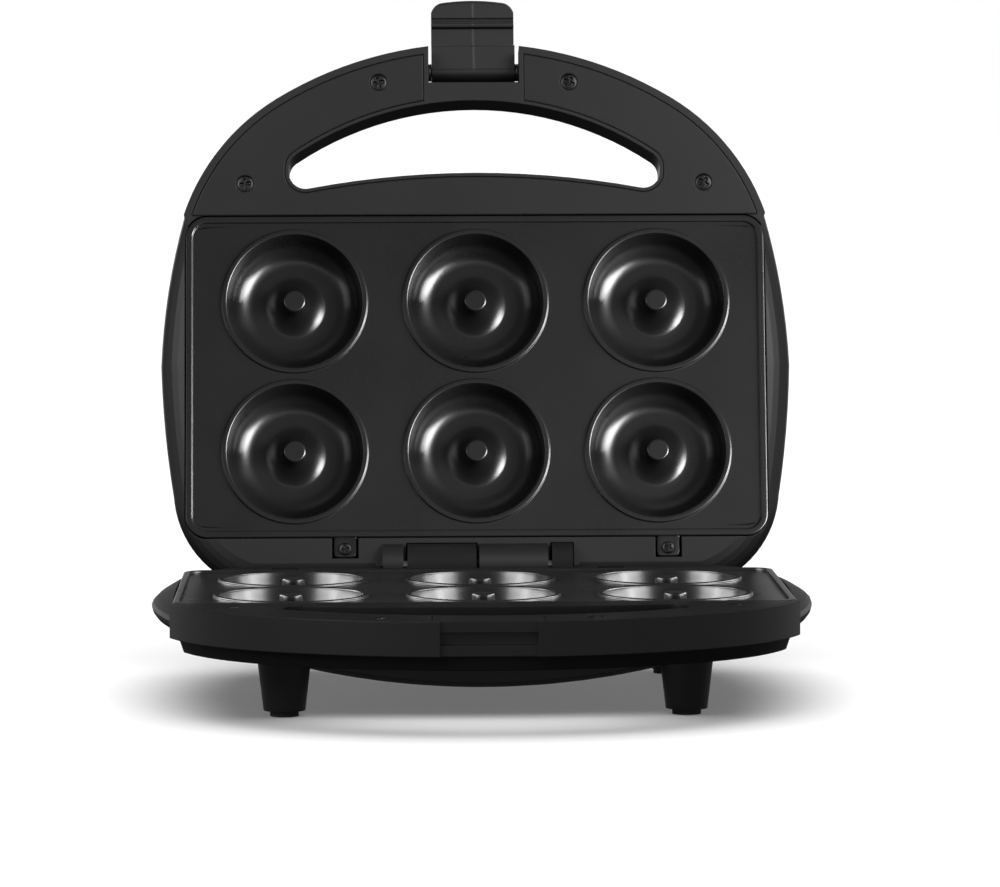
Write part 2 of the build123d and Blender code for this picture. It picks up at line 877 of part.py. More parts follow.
# latch: hub, arm that turns the corner and front plate with a hook rib
plate_in = arch_reach + latch_front_gap - pivot_y
plate_out = plate_in + latch_plate
hook_tip = plate_in - hook_bite
with BuildPart() as latch:
    with BuildSketch(side_plane(lid_frame, -latch_width / 2, pivot_y, pivot_z)) as side:
        with BuildLine():
            Line((-hub_radius, 0), (-hub_radius, plate_out - latch_bend))
            ThreePointArc(
                (-hub_radius, plate_out - latch_bend),
                (-hub_radius + latch_bend_mid, plate_out - latch_bend_mid),
                (-hub_radius + latch_bend, plate_out),
            )
            Line((-hub_radius + latch_bend, plate_out), (latch_length - tip_round, plate_out))
            ThreePointArc(
                (latch_length - tip_round, plate_out),
                (latch_length, plate_out - latch_plate / 2),
                (latch_length - tip_round / 2, plate_in),
            )
            Polyline(
                (latch_length - tip_round / 2, plate_in),
                (hook_start + hook_thick, plate_in),
                (hook_start + hook_thick - hook_draft, hook_tip),
                (hook_start + hook_draft, hook_tip),
                (hook_start, plate_in),
                (hub_radius + throat_bend, plate_in),
            )
            ThreePointArc(
                (hub_radius + throat_bend, plate_in),
                (hub_radius + throat_mid, plate_in - throat_mid),
                (hub_radius, plate_in - throat_bend),
            )
            Line((hub_radius, plate_in - throat_bend), (hub_radius, 0))
            ThreePointArc((hub_radius, 0), (0, -hub_radius), (-hub_radius, 0))
        make_face()
        Circle(latch_pin_radius + pin_fit, mode=Mode.SUBTRACT)
    extrude(amount=latch_width)
    with BuildSketch(lid_frame.offset(pivot_z - 2 * hub_radius)):
        tip_y = pivot_y + latch_length
        with BuildLine():
            Polyline(
                (-latch_width / 2, tip_y - tip_crown - tip_corner),
                (-latch_width / 2, pivot_y - 2.5 * hub_radius),
                (latch_width / 2, pivot_y - 2.5 * hub_radius),
                (latch_width / 2, tip_y - tip_crown - tip_corner),
            )
            ThreePointArc(
                (latch_width / 2, tip_y - tip_crown - tip_corner),
                (latch_width / 2 - tip_corner_mid, tip_y - tip_crown - tip_corner_mid),
                (latch_width / 2 - tip_corner, tip_y - tip_crown),
            )
            ThreePointArc(
                (latch_width / 2 - tip_corner, tip_y - tip_crown),
                (0, tip_y),
                (-latch_width / 2 + tip_corner, tip_y - tip_crown),
            )
            ThreePointArc(
                (-latch_width / 2 + tip_corner, tip_y - tip_crown),
                (-latch_width / 2 + tip_corner_mid, tip_y - tip_crown - tip_corner_mid),
                (-latch_width / 2, tip_y - tip_crown - tip_corner),
            )
        make_face()
    extrude(amount=4 * hub_radius + plate_out, mode=Mode.INTERSECT)
save(latch.part, "latch")
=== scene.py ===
import json
from math import cos, pi, radians, sin

import bmesh
import bpy
import numpy as np
from mathutils import Matrix, Vector


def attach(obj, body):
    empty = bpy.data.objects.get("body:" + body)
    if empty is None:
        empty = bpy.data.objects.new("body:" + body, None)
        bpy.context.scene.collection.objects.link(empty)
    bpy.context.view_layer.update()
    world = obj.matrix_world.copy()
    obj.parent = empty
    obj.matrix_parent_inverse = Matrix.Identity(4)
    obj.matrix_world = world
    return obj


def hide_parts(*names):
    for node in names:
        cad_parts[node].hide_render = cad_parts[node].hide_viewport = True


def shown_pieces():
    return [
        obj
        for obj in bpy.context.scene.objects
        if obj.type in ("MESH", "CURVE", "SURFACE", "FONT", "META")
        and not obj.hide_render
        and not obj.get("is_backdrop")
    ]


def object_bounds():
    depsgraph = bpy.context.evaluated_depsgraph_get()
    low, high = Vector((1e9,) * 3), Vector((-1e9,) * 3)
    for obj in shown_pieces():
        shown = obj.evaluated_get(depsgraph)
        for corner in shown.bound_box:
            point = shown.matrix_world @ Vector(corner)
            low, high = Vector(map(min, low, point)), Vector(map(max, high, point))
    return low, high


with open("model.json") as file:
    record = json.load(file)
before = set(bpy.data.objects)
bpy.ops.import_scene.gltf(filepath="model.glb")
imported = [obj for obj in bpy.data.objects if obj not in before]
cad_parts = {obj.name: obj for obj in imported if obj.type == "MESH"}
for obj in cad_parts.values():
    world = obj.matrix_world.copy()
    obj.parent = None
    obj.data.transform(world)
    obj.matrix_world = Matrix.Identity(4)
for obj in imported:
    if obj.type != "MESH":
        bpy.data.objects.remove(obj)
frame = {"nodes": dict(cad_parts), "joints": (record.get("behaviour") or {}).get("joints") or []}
cadLow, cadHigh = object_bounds()

# The donut maker stands open. Both halves are worked out in the same way: x across,
# v forward from the hinge, z from the parting plane into the half.
mm = 0.001
hingeJoint = next(j for j in frame["joints"] if j["child"] == "lid")
hingePlace = np.array(hingeJoint["pos_m"])
openAngle = -radians(max(hingeJoint["range_deg"]))
print("frame loaded:", len(frame["nodes"]), "nodes")


# base half: straight ahead of the hinge is -Y, and deeper is down
def toBase(x, v, z):
    x, v, z = np.broadcast_arrays(x, v, z)
    return hingePlace + mm * np.stack([x, -v, -z], -1)


# lid half: when closed it faces the base, with x running the other way and deeper being up,
# and from there it is turned back about the hinge by openAngle
def toLid(x, v, z):
    x, v, z = np.broadcast_arrays(x, v, z)
    up = -v * sin(openAngle) + z * cos(openAngle)
    back = -v * cos(openAngle) - z * sin(openAngle)
    return hingePlace + mm * np.stack([-x, back, up], -1)


halves = {"base": toBase, "lid": toLid}


# ---- meshes ----

build = {"mergeGap": 4e-6, "sharpTurn": 40, "flatWeight": 80}


# quads of a grid of points, rows by columns; closed joins the last column to the first
def gridFaces(rows, columns, closed):
    wide = columns if closed else columns - 1
    row, column = np.meshgrid(np.arange(rows - 1), np.arange(wide), indexing="ij")
    following = (column + 1) % columns
    corners = [row * columns + column, row * columns + following]
    corners += [(row + 1) * columns + following, (row + 1) * columns + column]
    return np.stack(corners, -1).reshape(-1, 4)


# one mesh from several grids of points, each (points, closed): doubles are merged, and
# faces turned outwards. A bevelled piece has its open ends filled first.
def makePiece(name, grids, body, material, weighted=True, bevel=None):
    points, faces, start = [], [], 0
    for grid, closed in grids:
        rows, columns = grid.shape[:2]
        points.append(grid.reshape(-1, 3))
        faces.append(gridFaces(rows, columns, closed) + start)
        start += rows * columns
    points, faces = np.concatenate(points), np.concatenate(faces)
    mesh = bpy.data.meshes.new(name)
    mesh.from_pydata(points.tolist(), [], faces.tolist())
    work = bmesh.new()
    work.from_mesh(mesh)
    bmesh.ops.remove_doubles(work, verts=work.verts, dist=build["mergeGap"])
    bmesh.ops.dissolve_degenerate(work, dist=build["mergeGap"] / 4, edges=work.edges)
    if bevel:
        bmesh.ops.holes_fill(work, edges=work.edges, sides=0)
    bmesh.ops.recalc_face_normals(work, faces=work.faces)
    work.to_mesh(mesh)
    work.free()
    mesh.polygons.foreach_set("use_smooth", np.ones(len(mesh.polygons), bool))
    mesh.materials.append(material)
    piece = bpy.data.objects.new(name, mesh)
    bpy.context.scene.collection.objects.link(piece)
    if bevel:
        rounding = piece.modifiers.new("rounded edges", "BEVEL")
        rounding.width, rounding.segments = bevel, 3
        rounding.limit_method, rounding.angle_limit = "ANGLE", radians(build["sharpTurn"])
    if weighted:
        normals = piece.modifiers.new("flat faces stay flat", "WEIGHTED_NORMAL")
        normals.weight = build["flatWeight"]
        normals.keep_sharp = False
    if body is None:
        piece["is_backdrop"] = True
    else:
        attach(piece, body)
    return piece


# points on the circle through three points, from the first to the last
def arcThrough(start, middle, end, count):
    a, b, c = (complex(*p) for p in (start, middle, end))
    w = (c - a) / (b - a)
    centre = a + (b - a) * (w - abs(w) ** 2) / (2j * w.imag)
    turns = np.unwrap(np.angle(np.array([a - centre, b - centre, c - centre])))
    angle = np.interp(np.linspace(0, 2, count), [0, 1, 2], turns)
    radius = abs(a - centre)
    return np.stack([centre.real + radius * np.cos(angle), centre.imag + radius * np.sin(angle)], -1)


# ---- materials ----

# one socket of a shader, so that sums of sockets are written as they are read
class Wire:
    def __init__(self, paint, socket):
        self.paint, self.socket = paint, socket

    def sum(self, operation, first, second):
        return self.paint.node("ShaderNodeMath", {"operation": operation}, {0: first, 1: second})

    def __add__(self, other):
        return self.sum("ADD", self, other)

    def __radd__(self, other):
        return self.sum("ADD", other, self)

    def __sub__(self, other):
        return self.sum("SUBTRACT", self, other)

    def __rsub__(self, other):
        return self.sum("SUBTRACT", other, self)

    def __mul__(self, other):
        return self.sum("MULTIPLY", self, other)

    def __rmul__(self, other):
        return self.sum("MULTIPLY", other, self)

    def smooth(self, low, high):
        settings = {"interpolation_type": "SMOOTHSTEP"}
        values = {"Value": self, "From Min": low, "From Max": high}
        return self.paint.node("ShaderNodeMapRange", settings, values)


# a material under construction: its nodes all read the object's own coordinates
class Paint:
    def __init__(self, name):
        self.material = bpy.data.materials.new(name)
        self.material.use_nodes = True
        self.tree = self.material.node_tree
        self.tree.nodes.clear()
        self.place = Wire(self, self.node("ShaderNodeTexCoord", out="Object").socket)

    # a node of any type: its settings first, then the values or links of its sockets
    def node(self, kind, settings=None, values=None, out=0):
        node = self.tree.nodes.new(kind)
        for key, value in (settings or {}).items():
            setattr(node, key, value)
        for key, value in (values or {}).items():
            if isinstance(value, Wire):
                self.tree.links.new(value.socket, node.inputs[key])
            else:
                node.inputs[key].default_value = value
        return Wire(self, node.outputs[out])

    def noise(self, scale, detail=3.0, roughness=0.55):
        values = {"Vector": self.place, "Scale": scale, "Detail": detail, "Roughness": roughness}
        return self.node("ShaderNodeTexNoise", None, values)

    def cells(self, scale):
        return self.node("ShaderNodeTexVoronoi", None, {"Vector": self.place, "Scale": scale})

    # a streaked noise: the object's coordinates drawn out by a different amount along each axis
    def streaks(self, stretch):
        drawn = self.node("ShaderNodeVectorMath", {"operation": "MULTIPLY"}, {0: self.place, 1: stretch})
        return self.node("ShaderNodeTexNoise", None, {"Vector": drawn, "Scale": 1.0, "Detail": 4.0})

    def mix(self, amount, first, second):
        sockets = {"Factor": amount, 6: first, 7: second}
        return self.node("ShaderNodeMix", {"data_type": "RGBA"}, sockets, out=2)

    # rounded edges and a fine relief, for the Normal socket
    def relief(self, height, depth, edge=None):
        values = {"Height": height, "Distance": depth, "Strength": 1.0}
        if edge:
            values["Normal"] = self.node("ShaderNodeBevel", {"samples": 4}, {"Radius": edge})
        return self.node("ShaderNodeBump", None, values)

    def finish(self, **sockets):
        named = {key.replace("_", " "): value for key, value in sockets.items()}
        shader = self.node("ShaderNodeBsdfPrincipled", None, named)
        out = self.tree.nodes.new("ShaderNodeOutputMaterial")
        self.tree.links.new(shader.socket, out.inputs["Surface"])
        return self.material


plastic = {
    "dark": (0.0052, 0.0053, 0.0056, 1),
    "light": (0.0098, 0.0099, 0.0104, 1),
    "rough": 0.43,
    "grainScale": 2600.0,     # grains of the moulded skin, per metre
    "grainDepth": 0.000012,
    "edge": {"shell": 0.0005, "panel": 0.0008, "latch": 0.0004},
    "dust": (0.05, 0.05, 0.05, 1),
}


# moulded plastic: a fine even grain, faint cloudy gloss, and rounded edges
def mouldedPlastic(name, rough, edge, tone=1.0):
    paint = Paint(name)
    cloud = paint.noise(22.0, 4.0)
    grain = paint.noise(plastic["grainScale"], 2.0)
    spots = paint.cells(900.0)
    dust = paint.noise(420.0, 6.0, 0.7).smooth(0.63, 0.78)
    dark = tuple(c * tone for c in plastic["dark"][:3]) + (1,)
    light = tuple(c * tone for c in plastic["light"][:3]) + (1,)
    colour = paint.mix(cloud * 0.7 + grain * 0.3, dark, light)
    colour = paint.mix(dust * 0.12, colour, plastic["dust"])
    gloss = rough + (cloud - 0.5) * 0.08 + (grain - 0.5) * 0.06 + dust * 0.05
    height = grain * 0.8 + spots * 0.2
    normal = paint.relief(height, plastic["grainDepth"], edge)
    return paint.finish(Base_Color=colour, Roughness=gloss, Normal=normal, IOR=1.46)


coat = {
    "dark": (0.0034, 0.0034, 0.0037, 1),
    "light": (0.0066, 0.0066, 0.0070, 1),
    "fleck": (0.05, 0.05, 0.052, 1),
    "rough": 0.28,
    "peelDepth": 0.000012,
}


# cast plate under a sprayed non-stick coat: soft orange-peel and sparse flecks
def nonstickCoat(name):
    paint = Paint(name)
    peel = paint.noise(520.0, 2.0)
    fleck = paint.cells(1500.0).smooth(0.16, 0.06)
    cloud = paint.noise(30.0, 5.0, 0.6)
    colour = paint.mix(cloud, coat["dark"], coat["light"])
    colour = paint.mix(fleck * 0.25, colour, coat["fleck"])
    gloss = coat["rough"] + (cloud - 0.5) * 0.06 + fleck * 0.05
    normal = paint.relief(peel * 0.7 + fleck * 0.3, coat["peelDepth"])
    return paint.finish(Base_Color=colour, Roughness=gloss, Normal=normal, IOR=1.52)


# metal with fine drawn lines and a few dull patches
def drawnMetal(name, dark, light, rough, stretch=(60, 2400, 2400)):
    paint = Paint(name)
    lines = paint.streaks(stretch)
    patch = paint.noise(60.0, 5.0)
    colour = paint.mix(lines * 0.5 + patch * 0.5, dark, light)
    gloss = rough + (lines - 0.5) * 0.12 + (patch - 0.5) * 0.1
    normal = paint.relief(lines, 0.000015, 0.0002)
    return paint.finish(Base_Color=colour, Roughness=gloss, Metallic=1.0, Normal=normal)


# rubber, fired clay and other dull stuff: two sizes of grain, no shine
def dullStuff(name, dark, light, rough, scale):
    paint = Paint(name)
    grain = paint.noise(scale, 5.0, 0.65)
    patch = paint.noise(scale / 12, 3.0)
    colour = paint.mix(grain * 0.6 + patch * 0.4, dark, light)
    normal = paint.relief(grain, 0.00004, 0.0003)
    return paint.finish(Base_Color=colour, Roughness=rough + (patch - 0.5) * 0.1, Normal=normal)


# clear tinted plastic over a lamp: small moulded prisms with a cloudy depth and a clear skin
def tintedLens(name, deep, bright):
    paint = Paint(name)
    cloud = paint.noise(300.0, 3.0)
    prism = paint.cells(800.0)
    colour = paint.mix(cloud * 0.5 + prism * 0.5, deep, bright)
    normal = paint.relief(prism, 0.00005, 0.0002)
    return paint.finish(Base_Color=colour, Roughness=0.12 + cloud * 0.08, Normal=normal,
                        Coat_Weight=0.6, IOR=1.49)


shellPlastic = mouldedPlastic("shellPlastic", plastic["rough"], plastic["edge"]["shell"])
panelPlastic = mouldedPlastic("panelPlastic", plastic["rough"] - 0.03, plastic["edge"]["panel"], 0.95)
latchPlastic = mouldedPlastic("latchPlastic", plastic["rough"] + 0.02, plastic["edge"]["latch"], 1.05)
plateCoat = nonstickCoat("plateCoat")
blackScrew = drawnMetal("blackScrew", (0.02, 0.02, 0.021, 1), (0.06, 0.06, 0.062, 1), 0.34, (900, 900, 900))
steelWire = drawnMetal("steelWire", (0.42, 0.42, 0.41, 1), (0.62, 0.61, 0.59, 1), 0.28)
heaterTube = drawnMetal("heaterTube", (0.10, 0.09, 0.085, 1), (0.22, 0.20, 0.18, 1), 0.42)
reflectorSheet = drawnMetal("reflectorSheet", (0.55, 0.55, 0.54, 1), (0.78, 0.78, 0.77, 1), 0.30)
heatproofStuff = dullStuff("heatproofStuff", (0.55, 0.52, 0.46, 1), (0.74, 0.71, 0.65, 1), 0.78, 700.0)
footRubber = dullStuff("footRubber", (0.010, 0.010, 0.010, 1), (0.022, 0.022, 0.021, 1), 0.82, 900.0)
redLens = tintedLens("redLens", (0.10, 0.003, 0.003, 1), (0.32, 0.012, 0.010, 1))
greenLens = tintedLens("greenLens", (0.003, 0.07, 0.015, 1), (0.012, 0.24, 0.05, 1))
print("materials made")

cadFinish = {
    "shell": shellPlastic, "handle_panel": panelPlastic, "plate": plateCoat, "screws": blackScrew,
    "element": heaterTube, "bushes": heatproofStuff, "reflector": reflectorSheet, "feet": shellPlastic,
    "foot_pads": footRubber, "cord_bushing": footRubber, "terminal_block": heatproofStuff,
    "thermostat": steelWire, "thermal_fuse": steelWire, "hinge_pins": steelWire,
    "hinge_wire_sleeve": footRubber, "power_lens": redLens, "ready_lens": greenLens,
    "lamp_holder": panelPlastic, "latch_pin": steelWire, "latch": latchPlastic,
}
for name, node in frame["nodes"].items():
    kind = max((key for key in cadFinish if name.endswith(key)), key=len)
    node.data.materials.clear()
    node.data.materials.append(cadFinish[kind])
print("frame's nodes painted")


# ---- cooking plates ----

plate = {
    "halfWidth": 108.2, "rear": 10.8, "front": 132.2, "corner": 8.0,
    "face": 1.2, "back": 3.4, "bead": 0.2,
    "wellPitch": (67.6, 56.8), "cellColumns": 30, "cornerCrowding": 0.78,
    "lugs": (-71.0, 49.0), "lugMiddle": 7.6, "lugHalf": (4.5, 4.3), "lugDepth": (1.8, 3.4),
    "lugRound": 0.4, "lugPower": 7.0, "lugScrew": 6.4,
}


# half of a well's section, radius against depth: post, round bottom, wall, rolled rim, face
def wellSection():
    top, face = plate["bead"], plate["face"]
    return np.concatenate([
        [(0, top), (1.5, top), (3.1, top)],
        arcThrough((3.45, top), (3.88, 0.42), (4.1, 0.9), 6),
        [(4.1, 1.9)],
        arcThrough((4.1, 2.8), (6.3, 10.3), (11.7, 13.7), 20),
        [(13.6, 13.7)],
        arcThrough((15.5, 13.7), (20.67, 11.94), (23.7, 7.4), 26),
        [(24.3, 5.0), (24.85, 2.8), (25.25, 1.2)],
        arcThrough((25.25, 0.75), (25.42, 0.35), (25.8, top), 6),
        [(26.2, top), (26.6, top)],
        arcThrough((26.8, top), (27.12, 0.33), (27.25, 0.65), 6),
        arcThrough((27.25, 0.9), (27.34, 1.11), (27.55, face), 4),
    ])


# the same seen from underneath: flat bottom, round wall, and out to the back of the plate
def underSection():
    back = plate["back"]
    return np.concatenate([
        [(0, 15.9), (6.0, 15.9), (12.0, 15.9)],
        arcThrough((18.25, 15.9), (23.65, 11.7), (26.25, 6.4), 10),
        [(27.25, back + 0.3), (27.55, back)],
    ])


# a well's cell: every section point swept round the centre, then straight lines from the
# last circle out to the cell's rectangle along the same rays
def wellCell(centre, section, half):
    n = plate["cellColumns"]
    tip = np.arctan2(half[1], half[0])
    corners = np.array([-tip, tip, pi - tip, pi + tip, 2 * pi - tip])
    angle = np.concatenate([np.linspace(a, b, n, endpoint=False) for a, b in zip(corners, corners[1:])])
    ray = np.stack([np.cos(angle), np.sin(angle)], -1)
    reach = np.min(np.array(half) / np.maximum(abs(ray), 1e-9), -1)
    last = section[-1]
    share = np.array([0.3, 0.65, 1.0])[:, None]
    outer = last[0] * (1 - share) + reach[None] * share
    radius = np.concatenate([np.repeat(section[:, :1], len(angle), 1), outer])
    depth = np.concatenate([section[:, 1], np.repeat(last[1], 3)])
    xv = radius[..., None] * ray[None] + np.array(centre)
    return xv[..., 0], xv[..., 1], np.repeat(depth[:, None], len(angle), 1)


# distances along one side of the six-cell block, spread as the cells' own edges are
def blockSide(cells, along, across):
    turn = np.linspace(-1, 1, plate["cellColumns"] + 1) * np.arctan2(along, across)
    steps = across * np.tan(turn)
    centres = (np.arange(cells) - (cells - 1) / 2) * 2 * along
    side = np.concatenate([c + steps[:-1] for c in centres])
    return np.append(side, centres[-1] + steps[-1])[:-1]


# the plate's rim: from the block of cells out over the border bead, down the edge and back
# underneath. Corners crowd their points by a sine, and each row is the outline pulled in.
def rimRows():
    halfX, halfV = plate["halfWidth"], (plate["front"] - plate["rear"]) / 2
    cellX, cellV = plate["wellPitch"][0] / 2, plate["wellPitch"][1] / 2
    r = plate["corner"]
    inner, outline, outward = [], [], []
    for k in range(4):
        wide = k % 2 == 0
        depth, length = (halfV, halfX) if wide else (halfX, halfV)
        cells = 3 if wide else 2
        block = blockSide(3, cellX, cellV) if wide else blockSide(2, cellV, cellX)
        blockDepth = 2 * cellV if wide else 3 * cellX
        turn = 1j ** k
        inner.append((block - 1j * blockDepth) * turn)
        u = np.linspace(0, 1, cells * plate["cellColumns"] + 1)[:-1]
        u = u - plate["cornerCrowding"] * np.sin(2 * pi * u) / (2 * pi)
        quarter = r * pi / 4
        run = (u - 0.5) * 2 * (length - r + quarter)
        bend = np.maximum(abs(run) - (length - r), 0) / r
        sign = np.sign(run)
        along = sign * (np.minimum(abs(run), length - r) + r * np.sin(bend))
        outline.append((along + 1j * (r * (1 - np.cos(bend)) - depth)) * turn)
        outward.append((sign * np.sin(bend) - 1j * np.cos(bend)) * turn)
    middle = 1j * (plate["front"] + plate["rear"]) / 2
    inner, outline, outward = (np.concatenate(a) for a in (inner, outline, outward))
    face, back, top = plate["face"], plate["back"], plate["bead"]
    rim = np.concatenate([
        [(3.6, face), (2.85, face)],
        arcThrough((2.75, face), (2.56, 1.14), (2.5, 0.95), 4),
        arcThrough((2.5, 0.7), (2.38, 0.34), (2.1, top), 6),
        [(1.7, top), (0.9, top)],
        arcThrough((0.6, top), (0.18, 0.36), (0, 0.8), 7),
        [(0, 1.6), (0, 2.6), (0.05, 3.2), (0.3, back)],
    ])
    rows = np.concatenate([inner[None], outline[None] - rim[:, :1] * outward[None], inner[None]]) + middle
    depths = np.concatenate([[face], rim[:, 1], [back]])
    return rows.real, rows.imag, np.repeat(depths[:, None], rows.shape[1], 1)


# lug for a screw, a low block with rounded corners and edges: a squared circle
# x^n + y^n = 1, pulled in near the top and bottom; rows run from middle to middle
def lugBlock(x):
    v, (halfX, halfV), (low, high) = plate["lugMiddle"], plate["lugHalf"], plate["lugDepth"]
    edge, power = plate["lugRound"], plate["lugPower"]
    angle = np.linspace(0, 2 * pi, 48, endpoint=False)
    squared = (abs(np.cos(angle)) ** power + abs(np.sin(angle)) ** power) ** (-1 / power)
    pull = np.array([0, 0.6, 1 - edge / 3, 1, 1, 1 - edge / 3, 0.6, 0])[:, None]
    height = np.array([low, low, low, low + edge / 2, high - edge / 2, high, high, high])[:, None]
    px = x + pull * squared * np.cos(angle) * halfX
    pv = v + pull * squared * np.sin(angle) * halfV
    return px, pv, height + 0 * px


castPlates = {}
for half, place in halves.items():
    cellX, cellV = plate["wellPitch"][0] / 2, plate["wellPitch"][1] / 2
    middleV = (plate["front"] + plate["rear"]) / 2
    centres = [(i * 2 * cellX, middleV + j * cellV) for i in (-1, 0, 1) for j in (-1, 1)]
    sections = [wellSection(), underSection()]
    grids = [(place(*wellCell(c, s, (cellX, cellV))), True) for c in centres for s in sections]
    grids.append((place(*rimRows()), True))
    grids += [(place(*lugBlock(x)), True) for x in plate["lugs"]]
    castPlate = makePiece(half + "CastPlate", grids, half, plateCoat)
    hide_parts(half + "_plate")
    castPlates[half] = castPlate
print("cooking plates cast")


# ---- screws ----

screws = {
    "panel": {"radius": 3.2, "top": 0.3, "seat": 1.2, "shank": 1.4, "length": 9.0},
    "plate": {"radius": 2.3, "top": 0.8, "seat": 1.8, "shank": 1.4, "length": 7.0},
    # the cross, as shares of the head's radius: half its arm, its reach, and how soft they are
    "cross": 0.19, "crossReach": 0.66, "softArm": 0.07, "softReach": 0.08, "crossDepth": 0.231,
    "dome": (0.28, 0.16),
    "firstTurn": 0.5, "nextTurn": 2.4,
}
panelScrewPlaces = [(s * x, v) for x, v in ((35.8, 183.4), (86.0, 144.7)) for s in (-1, 1)]


# domed head with a cross cut into it: depth is a parabola of the radius with a steeper
# eighth power at the edge, and more where the cross is; then the seat and the shank below
def crossHead(x, v, size, turn):
    angle = np.linspace(0, 2 * pi, 72, endpoint=False)
    share = np.concatenate([np.linspace(0, 0.8, 15), [0.86, 0.92, 0.965, 0.99, 1.0]])[:, None]
    along, across = share * np.cos(angle), share * np.sin(angle)
    arm = np.minimum(abs(along), abs(across))
    reach = np.maximum(abs(along), abs(across))
    cut = np.clip((screws["cross"] - arm) / screws["softArm"], 0, 1)
    cut = cut * np.clip((screws["crossReach"] - reach) / screws["softReach"], 0, 1)
    fall, edgeFall = screws["dome"]
    height = size["top"] + fall * share ** 2 + edgeFall * share ** 8
    depth = height + cut * screws["crossDepth"] * size["radius"]
    below = [(1.0, size["seat"]), (size["shank"] / size["radius"], size["seat"] + 0.02)]
    below += [(size["shank"] / size["radius"], size["length"]), (0.0, size["length"] + 0.6)]
    shares = np.concatenate([np.repeat(share, len(angle), 1), [[s] * len(angle) for s, _ in below]])
    depths = np.concatenate([depth, [[d] * len(angle) for _, d in below]])
    px = x + shares * size["radius"] * np.cos(angle + turn)
    pv = v + shares * size["radius"] * np.sin(angle + turn)
    return px, pv, depths


for half, place in halves.items():
    rows = {"panel": panelScrewPlaces, "plate": [(x, plate["lugScrew"]) for x in plate["lugs"]]}
    for kind, places in rows.items():
        turns = [screws["firstTurn"] + screws["nextTurn"] * i for i in range(len(places))]
        grids = [(place(*crossHead(*p, screws[kind], t)), True) for p, t in zip(places, turns)]
        heads = makePiece(half + kind.capitalize() + "Screws", grids, half, blackScrew)
        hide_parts(half + "_" + kind + "_screws")
print("screws driven")


# ---- latch ----

latch = {
    "half": 15.7, "pivot": (190.0, 13.25), "hub": 3.8, "length": 30.6, "crown": 1.6, "corner": 4.0,
    "bend": 25.0, "front": 10.0, "inner": 8.9, "outer": 11.9, "hook": (19.2, 21.6, 7.5), "seam": 0.16,
    "round": 0.0004, "collar": {"bore": 1.75, "radius": 3.3, "near": 15.8, "far": 17.4},
}


# section of the latch, along against deep: hub and front block, back round the bend, outer
# face, round tip, and down the inner face past the hook
def latchSection():
    hub, inner, outer, length = latch["hub"], latch["inner"], latch["outer"], latch["length"]
    low, high, tooth = latch["hook"]
    front = latch["front"]
    return np.concatenate([
        [(1.0, -hub), (0.7, -hub - 0.15), (0.4, -hub)],
        arcThrough((0, -hub), (-0.707 * hub, -0.707 * hub), (-hub, 0), 9),
        [(-hub, 2.0)],
        arcThrough((-hub, outer - 7.5), (-hub + 2.2, outer - 2.2), (-hub + 7.5, outer), 10),
        [(8.0, outer), (14.0, outer), (20.0, outer), (latch["bend"], outer), (26.0, outer)],
        arcThrough((length - 1.7, outer), (length, outer - 1.5), (length - 1.7, inner), 9),
        [(27.0, inner), (latch["bend"], inner), (23.5, inner), (23.1, inner + 0.5), (22.5, inner + 0.5)],
        [(22.1, inner), (high, inner), (high - 0.3, tooth + 0.3), (high - 0.6, tooth)],
        [(low + 0.7, tooth), (low + 0.3, tooth + 0.3), (low, inner), (13.2, inner)],
        arcThrough((12.0, inner), (front + 0.5, inner - 0.5), (front, inner - 2.0), 5),
        [(front, 2.0), (front, -hub + 0.8)],
        arcThrough((front, -hub + 0.7), (front - 0.25, -hub + 0.2), (front - 0.8, -hub), 4),
    ])


# the section carried across, its tip cut to an arch: a parabola less a circle at each corner;
# a fine seam stands up along the middle of the side that faces forward
def latchGrid():
    section, half = latchSection(), latch["half"]
    edge = half - latch["corner"]
    right = [[0, 0.12, 0.3, 1.2], np.linspace(3, edge, 6), np.linspace(edge + 0.5, half, 11)]
    right = np.concatenate(right)
    x = np.concatenate([-right[:0:-1], right])[:, None]
    crown = latch["length"] - latch["crown"] * (x / half) ** 2
    corner = latch["corner"] - np.sqrt(latch["corner"] ** 2 - np.maximum(abs(x) - edge, 0) ** 2)
    limit = crown - np.minimum(corner, 0.82 * latch["corner"])
    along = section[None, :, 0] + 0 * x
    past = np.maximum(along - latch["bend"], 0)
    along = along - past + past * (limit - latch["bend"]) / (latch["length"] - latch["bend"])
    forward = (section[:, 1] < latch["inner"] + 0.1) & (section[:, 0] > 0)
    seam = latch["seam"] * np.clip(1 - abs(x) / 0.3, 0, 1) * forward
    deep = section[None, :, 1] - seam
    return x + 0 * along, latch["pivot"][0] + along, latch["pivot"][1] + deep


# ring about the pin: a circle round the pivot carried out, across and back in
def collarGrid(side):
    bore, radius, near, far = (latch["collar"][k] for k in ("bore", "radius", "near", "far"))
    loop = np.array([(bore, near), (radius, near), (radius, far), (bore, far), (bore, near)])[:, :, None]
    turn = np.linspace(0, 2 * pi, 48, endpoint=False)
    return (side * loop[:, 1] + 0 * turn, latch["pivot"][0] + loop[:, 0] * np.cos(turn),
            latch["pivot"][1] + loop[:, 0] * np.sin(turn))


collars = [(toLid(*collarGrid(side)), True) for side in (-1, 1)]
makePiece("latchCollars", collars, "lid", shellPlastic)
flipLatch = makePiece("flipLatch", [(toLid(*latchGrid()), True)], "latch", latchPlastic,
                      bevel=latch["round"])
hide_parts("latch")
print("latch made")


# ---- stage, light and camera ----

